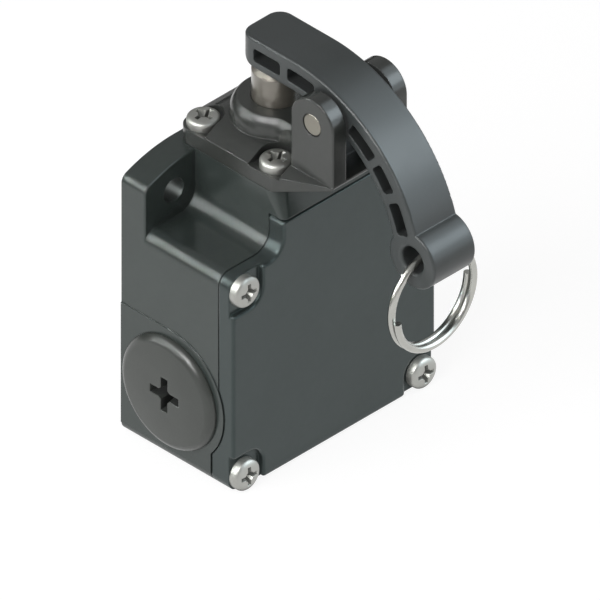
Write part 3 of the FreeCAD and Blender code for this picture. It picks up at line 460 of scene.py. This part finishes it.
# Finishes of the painted castings and moulded pieces
paintedFinishes = {
    "casting_paint": {
        "color": (0.0365, 0.045, 0.042), "spread": 0.08, "grain": 700, "patch": 70,
        "roughness": 0.2, "glossSpread": 0.015, "glossTint": (0.96, 1, 0.985),
        "relief": 0.1, "depth": 0.00004, "edge": 0.00025, "edgeHighlight": 0.1, "reach": 0.008, "paintedShadeAmount": 0.55},
    "cover_paint": {
        "color": (0.03, 0.0365, 0.0355), "spread": 0.08, "grain": 700, "patch": 70,
        "roughness": 0.22, "glossSpread": 0.03, "glossTint": (0.78, 0.97, 0.96),
        "relief": 0.12, "depth": 0.00004, "edge": 0.0005, "edgeHighlight": 0.3},
    "head_paint": {
        "color": (0.037, 0.04, 0.037), "spread": 0.08, "grain": 800, "patch": 80,
        "roughness": 0.24, "glossSpread": 0.03,
        "relief": 0.12, "depth": 0.00004, "edge": 0.00032, "edgeHighlight": 0.25},
    "lever_polymer": {
        "color": (0.043, 0.0495, 0.0495), "spread": 0.06, "grain": 1400, "patch": 120,
        "roughness": 0.34, "glossSpread": 0.04,
        "relief": 0.12, "depth": 0.00003, "edge": 0.0004, "edgeHighlight": 0.9, "reach": 0.008},
    "plug_polymer": {
        "color": (0.047, 0.052, 0.047), "spread": 0.06, "grain": 1400, "patch": 120,
        "roughness": 0.26, "glossSpread": 0.01,
        "relief": 0.03, "depth": 0.00003, "edge": 0.0003, "edgeHighlight": 0.2, "reach": 0.005, "paintedShadeAmount": 0.95},
    "seal_rubber": {
        "color": (0.028, 0.031, 0.03), "spread": 0.1, "grain": 1800, "patch": 150,
        "roughness": 0.6, "glossSpread": 0.06,
        "relief": 0.3, "depth": 0.00004, "edge": 0.0001},
    "block_polymer": {
        "color": (0.03, 0.03, 0.032), "spread": 0.08, "grain": 2500, "patch": 150,
        "roughness": 0.45, "glossSpread": 0.05,
        "relief": 0.2, "depth": 0.00003, "edge": 0.00015},
    "carriage_polymer": {
        "color": (0.72, 0.71, 0.67), "spread": 0.04, "grain": 2500, "patch": 150,
        "roughness": 0.4, "glossSpread": 0.05,
        "relief": 0.15, "depth": 0.00003, "edge": 0.00015},
}
# Finishes of the bare metal pieces; lines stretches the machining marks along an axis
metalFinishes = {
    "zinc_screw": {
        "color": (0.4, 0.4, 0.375), "spread": 0.06, "grain": 1500, "lines": (1, 1, 1),
        "roughness": 0.44, "glossSpread": 0.03, "relief": 0.05, "depth": 0.00002, "edge": 0.00012},
    "pin_steel": {
        "color": (0.3, 0.285, 0.245), "spread": 0.08, "grain": 2600, "lines": (1, 1, 1),
        "roughness": 0.38, "glossSpread": 0.06, "relief": 0.15, "depth": 0.00002, "edge": 0.0001},
    "plunger_steel": {
        "color": (0.18, 0.166, 0.14), "spread": 0.04, "grain": 700, "lines": (0.4, 0.4, 4),
        "roughness": 0.3, "glossSpread": 0.03, "relief": 0.04, "depth": 0.00001, "edge": 0.0007,
        "metallic": 0.55, "coat": 0.8},
    "ring_steel": {
        "color": (0.46, 0.46, 0.43), "spread": 0.05, "grain": 900, "lines": (1, 1, 1),
        "roughness": 0.22, "glossSpread": 0.04, "relief": 0.01, "depth": 0.00002, "edge": 0.00008},
    "spring_steel": {
        "color": (0.5, 0.5, 0.49), "spread": 0.06, "grain": 1200, "lines": (1, 1, 1),
        "roughness": 0.28, "glossSpread": 0.06, "relief": 0.1, "depth": 0.00002, "edge": 0.00005},
    "bush_brass": {
        "color": (0.72, 0.52, 0.24), "spread": 0.06, "grain": 700, "lines": (0.4, 0.4, 6),
        "roughness": 0.28, "glossSpread": 0.06, "relief": 0.12, "depth": 0.00002, "edge": 0.0001},
    "contact_brass": {
        "color": (0.76, 0.58, 0.3), "spread": 0.06, "grain": 900, "lines": (1, 1, 1),
        "roughness": 0.3, "glossSpread": 0.06, "relief": 0.1, "depth": 0.00002, "edge": 0.0001},
}
materials = {name: grainedMaterial(name, finish) for name, finish in paintedFinishes.items()}
materials.update({name: metalMaterial(name, finish) for name, finish in metalFinishes.items()})
for nodeName, part in nodes.items():
    part.data.materials.clear()
    part.data.materials.append(materials[slotOf[nodeName]])
print("materials:", len(materials), "finishes on", len(nodes), "nodes")


# Shared steps of the added pieces
weldDistance = 0.0005
sharpAngle = math.radians(32)
threadForm = {"flank": 0.42, "crest": 0.06, "bury": 0.05}  # shares of the pitch, and how deep the root sinks
recessForm = {"over": 0.2, "coneSides": 28}  # how far a cutter stands out above the head


def spinProfile(shape, points, steps):
    verts = [shape.verts.new((radius, 0, height)) for radius, height in points]
    edges = [shape.edges.new(pair) for pair in zip(verts, verts[1:])]
    bmesh.ops.spin(
        shape, geom=verts + edges, cent=(0, 0, 0), axis=(0, 0, 1), angle=fullTurn, steps=steps, use_merge=True)
    bmesh.ops.remove_doubles(shape, verts=shape.verts, dist=weldDistance)
    bmesh.ops.dissolve_degenerate(shape, edges=shape.edges, dist=weldDistance)
    bmesh.ops.recalc_face_normals(shape, faces=shape.faces)


def capEnds(shape, first, made, sides):
    last = [edge for edge in made["geom_last"] if isinstance(edge, bmesh.types.BMEdge)]
    bmesh.ops.holes_fill(shape, edges=first + last, sides=sides)
    bmesh.ops.recalc_face_normals(shape, faces=shape.faces)


def windThread(shape, size, root, start, length):
    # A ridge wound upwards from the start height; a crest inside the root gives a nut thread
    crest, pitch, turnSteps = size["crestRadius"], size["pitch"], size["threadSteps"]
    half = pitch * threadForm["flank"]
    tip = pitch * threadForm["crest"]
    corners = [(root, -half), (crest, -tip), (crest, tip), (root, half)]
    verts = [shape.verts.new((radius, 0, start + half + height)) for radius, height in corners]
    edges = [shape.edges.new((verts[i], verts[i - 1])) for i in range(len(verts))]
    steps = int((length - 2 * half) / pitch * turnSteps)
    made = bmesh.ops.spin(
        shape, geom=verts + edges, cent=(0, 0, 0), axis=(0, 0, 1), dvec=(0, 0, pitch / turnSteps),
        angle=fullTurn * steps / turnSteps, steps=steps)
    capEnds(shape, edges, made, len(corners))


def recessCutters(size):
    cutters = []
    depth = size["recessDepth"] + recessForm["over"]
    middle = size["headHeight"] - size["recessDepth"] / 2 + recessForm["over"] / 2
    taper = (size["floorReach"] / size["armReach"], size["floorWidth"] / size["armWidth"], 1)
    for quarter in range(2):
        arm = bmesh.new()
        cube = bmesh.ops.create_cube(arm, size=1)["verts"]
        bmesh.ops.scale(arm, vec=(2 * size["armReach"], size["armWidth"], depth), verts=cube)
        bmesh.ops.scale(arm, vec=taper, verts=[vert for vert in cube if vert.co.z < 0])
        turn = Matrix.Rotation(quarter * quarterTurn, 3, "Z")
        bmesh.ops.rotate(arm, cent=(0, 0, 0), matrix=turn, verts=cube)
        bmesh.ops.translate(arm, vec=(0, 0, middle), verts=cube)
        cutters.append(shapeObject("recessArm", arm))
    cone = bmesh.new()
    bmesh.ops.create_cone(
        cone, cap_ends=True, segments=recessForm["coneSides"], radius1=size["coneFloor"],
        radius2=size["coneRadius"], depth=depth, matrix=Matrix.Translation((0, 0, middle)))
    cutters.append(shapeObject("recessCone", cone))
    return cutters


def cutRecess(solid, size):
    cutters = recessCutters(size)
    for cutter in cutters:
        cut = solid.modifiers.new("recess", "BOOLEAN")
        cut.object = cutter
        cut.operation = "DIFFERENCE"
        cut.solver = "EXACT"
    evaluated = solid.evaluated_get(bpy.context.evaluated_depsgraph_get())
    mesh = bpy.data.meshes.new_from_object(evaluated)
    for spare in [solid] + cutters:
        bpy.data.objects.remove(spare)
    return mesh


def finishPiece(name, shape, materialName, body):
    made = shapeObject(name, shape)
    made.data.materials.append(materials[materialName])
    made.data.shade_smooth()
    made.data.set_sharp_from_angle(angle=sharpAngle)
    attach(made, body)
    return made


# Cross-recess pan screws, set on the seats of the CAD screws
panScrew = {
    "headRadius": 3.45,
    "headHeight": 2.3,
    "wallHeight": 0.9,
    "fullness": 3.2,  # 2 is a plain dome, more is squarer
    "armReach": 2.3,
    "armWidth": 0.95,
    "floorReach": 1.3,
    "floorWidth": 0.7,
    "coneRadius": 1.25,
    "coneFloor": 0.5,
    "recessDepth": 1.9,
    "shankRadius": 1.35,
    "shankSides": 24,
    "plainShank": 1.5,  # left without thread under the head
    "crestRadius": 1.68,
    "pitch": 0.7,
    "threadSteps": 20,
    "ringSteps": 72,
    "profileSteps": 14,
}
screwSets = {
    "coverScrews": {
        "node": "cover_screws", "shank": 12.0, "faces": "front", "turn": Matrix.Rotation(quarterTurn, 4, "X")},
    "headScrews": {
        "node": "head_screws", "shank": 9.0, "faces": "up", "turn": Matrix.Identity(4)},
}


def panHeadMesh(size):
    head = bmesh.new()
    profile = [(0, 0), (size["headRadius"], 0)]
    for step in range(size["profileSteps"] + 1):
        angle = step / size["profileSteps"] * quarterTurn
        radius = size["headRadius"] * max(math.cos(angle), 0) ** (2 / size["fullness"])
        rise = (size["headHeight"] - size["wallHeight"]) * math.sin(angle) ** (2 / size["fullness"])
        profile.append((radius if step < size["profileSteps"] else 0, size["wallHeight"] + rise))
    spinProfile(head, profile, size["ringSteps"])
    return cutRecess(shapeObject("panHead", head), size)


def screwMesh(head, shank, size):
    single = bmesh.new()
    single.from_mesh(head)
    bmesh.ops.create_cone(
        single, cap_ends=True, segments=size["shankSides"], radius1=size["shankRadius"],
        radius2=size["shankRadius"], depth=shank, matrix=Matrix.Translation((0, 0, -shank / 2)))
    windThread(single, size, size["shankRadius"] - threadForm["bury"], -shank, shank - size["plainShank"])
    mesh = bpy.data.meshes.new("panScrew")
    single.to_mesh(mesh)
    single.free()
    return mesh


def screwSpots(screwSet, size):
    low, high = nodeBox(screwSet["node"])
    inset = size["headRadius"]
    across = (low.x + inset, high.x - inset)
    if screwSet["faces"] == "up":
        seat = high.z - size["headHeight"]
        return [(x, y, seat) for x in across for y in (low.y + inset, high.y - inset)]
    seat = low.y + size["headHeight"]
    return [(x, seat, z) for x in across for z in (low.z + inset, high.z - inset)]


panHead = panHeadMesh(panScrew)
for setName, screwSet in screwSets.items():
    single = screwMesh(panHead, screwSet["shank"], panScrew)
    group = bmesh.new()
    for spot in screwSpots(screwSet, panScrew):
        before = len(group.verts)
        group.from_mesh(single)
        group.verts.ensure_lookup_table()
        place = Matrix.Scale(millimetre, 4) @ Matrix.Translation(spot) @ screwSet["turn"]
        bmesh.ops.transform(group, matrix=place, verts=group.verts[before:])
    screws = finishPiece(setName, group, "zinc_screw", "housing_body")
    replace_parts(screws, screwSet["node"])
print("screws set:", ", ".join(screwSets))


# Cross-recess plugs in the side conduit entries
conduitPlug = {
    "headRadius": 12.7,
    "flatRadius": 10.9,
    "headHeight": 1.9,
    "rimHeight": 0.4,
    "bulge": 0.32,  # how far the rounded shoulder stands out from a straight bevel
    "armReach": 4.0,
    "armWidth": 1.9,
    "floorReach": 3.3,
    "floorWidth": 1.5,
    "coneRadius": 1.75,
    "coneFloor": 1.2,
    "recessDepth": 3.6,
    "shankRadius": 9.0,
    "shank": 7.5,
    "plainShank": 1.5,
    "plainEnd": 0.3,
    "crestRadius": 9.7,
    "pitch": 1.5,
    "threadSteps": 48,
    "ringSteps": 96,
    "profileSteps": 10,
}
plugSides = {"plugLeft": ("conduit_plug_left", -1), "plugRight": ("conduit_plug_right", 1)}


def plugMesh(size):
    blank = bmesh.new()
    shankRadius, shank = size["shankRadius"], size["shank"]
    rim = Vector((size["headRadius"], size["rimHeight"]))
    flat = Vector((size["flatRadius"], size["headHeight"]))
    outward = Vector((flat.y - rim.y, rim.x - flat.x)).normalized()
    profile = [(0, -shank), (shankRadius, -shank), (shankRadius, 0), (size["headRadius"], 0)]
    for step in range(size["profileSteps"] + 1):
        share = step / size["profileSteps"]
        swell = outward * 4 * size["bulge"] * share * (1 - share)  # fullest half way up
        profile.append(tuple(rim.lerp(flat, share) + swell))
    spinProfile(blank, profile + [(0, size["headHeight"])], size["ringSteps"])
    return cutRecess(shapeObject("plugBlank", blank), size)


def plugShape(blank, size):
    plug = bmesh.new()
    plug.from_mesh(blank)
    windThread(
        plug, size, size["shankRadius"] - threadForm["bury"], -size["shank"] + size["plainEnd"],
        size["shank"] - size["plainShank"])
    return plug


plugBlank = plugMesh(conduitPlug)
for plugName, (plugNode, side) in plugSides.items():
    low, high = nodeBox(plugNode)
    face = high.x if side > 0 else low.x
    spot = (face - side * conduitPlug["headHeight"], (low.y + high.y) / 2, (low.z + high.z) / 2)
    turn = Matrix.Rotation(side * quarterTurn, 4, "Y")
    plug = plugShape(plugBlank, conduitPlug)
    place = Matrix.Scale(millimetre, 4) @ Matrix.Translation(spot) @ turn
    bmesh.ops.transform(plug, matrix=place, verts=plug.verts)
    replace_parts(finishPiece(plugName, plug, "plug_polymer", "housing_body"), plugNode)
print("plugs fitted:", ", ".join(plugSides))


# Return springs, which in the switch shorten as the lever is pulled; here they are wound once, at the length of
# the CAD springs
returnSprings = {
    "plungerSpring": {"node": "plunger_spring", "joint": "plunger_slide", "wire": 1.1, "turns": 4.5},
    "carriageSpring": {"node": "carriage_spring", "joint": "carriage_slide", "wire": 0.45, "turns": 4.5},
}
springCoil = {"travel": 5.7, "endGap": 0.03, "turnSteps": 48, "wireSides": 16}


def windSpring(low, high, spring, coil):
    shape = bmesh.new()
    wireRadius = spring["wire"] / 2
    radius = (high.x - low.x - spring["wire"]) / 2
    start = low.z + coil["endGap"] + wireRadius
    rise = (high.z - low.z - 2 * coil["endGap"] - spring["wire"]) / spring["turns"]
    section = Matrix.Translation((radius, 0, start)) @ Matrix.Rotation(quarterTurn, 4, "X")
    verts = bmesh.ops.create_circle(
        shape, segments=coil["wireSides"], radius=wireRadius, matrix=section)["verts"]
    edges = shape.edges[:]
    made = bmesh.ops.spin(
        shape, geom=verts + edges, cent=(0, 0, 0), axis=(0, 0, 1), dvec=(0, 0, rise / coil["turnSteps"]),
        angle=fullTurn * spring["turns"], steps=int(spring["turns"] * coil["turnSteps"]))
    capEnds(shape, edges, made, coil["wireSides"])
    bmesh.ops.translate(shape, vec=(0, (low.y + high.y) / 2, 0), verts=shape.verts)
    bmesh.ops.scale(shape, vec=(millimetre,) * 3, verts=shape.verts)
    return shape


for springName, spring in returnSprings.items():
    low, high = nodeBox(spring["node"])
    piece = finishPiece(springName, windSpring(low, high, spring, springCoil), "spring_steel", "housing_body")
    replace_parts(piece, spring["node"])
    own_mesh(piece)
print("springs wound:", ", ".join(returnSprings))


# Thread of the open conduit entry at the bottom
conduitThread = {
    "boreRadius": 10.0,
    "crestRadius": 9.2,
    "pitch": 1.5,
    "threadSteps": 48,
    "low": -56.6,
    "length": 7.2,
    "axisY": -13.9,
}


def buildConduitThread(size):
    ridge = bmesh.new()
    windThread(ridge, size, size["boreRadius"] + threadForm["bury"], size["low"], size["length"])
    bmesh.ops.translate(ridge, vec=(0, size["axisY"], 0), verts=ridge.verts)
    bmesh.ops.scale(ridge, vec=(millimetre,) * 3, verts=ridge.verts)
    finishPiece("conduitThread", ridge, "casting_paint", "housing_body")


buildConduitThread(conduitThread)
print("conduit thread wound")
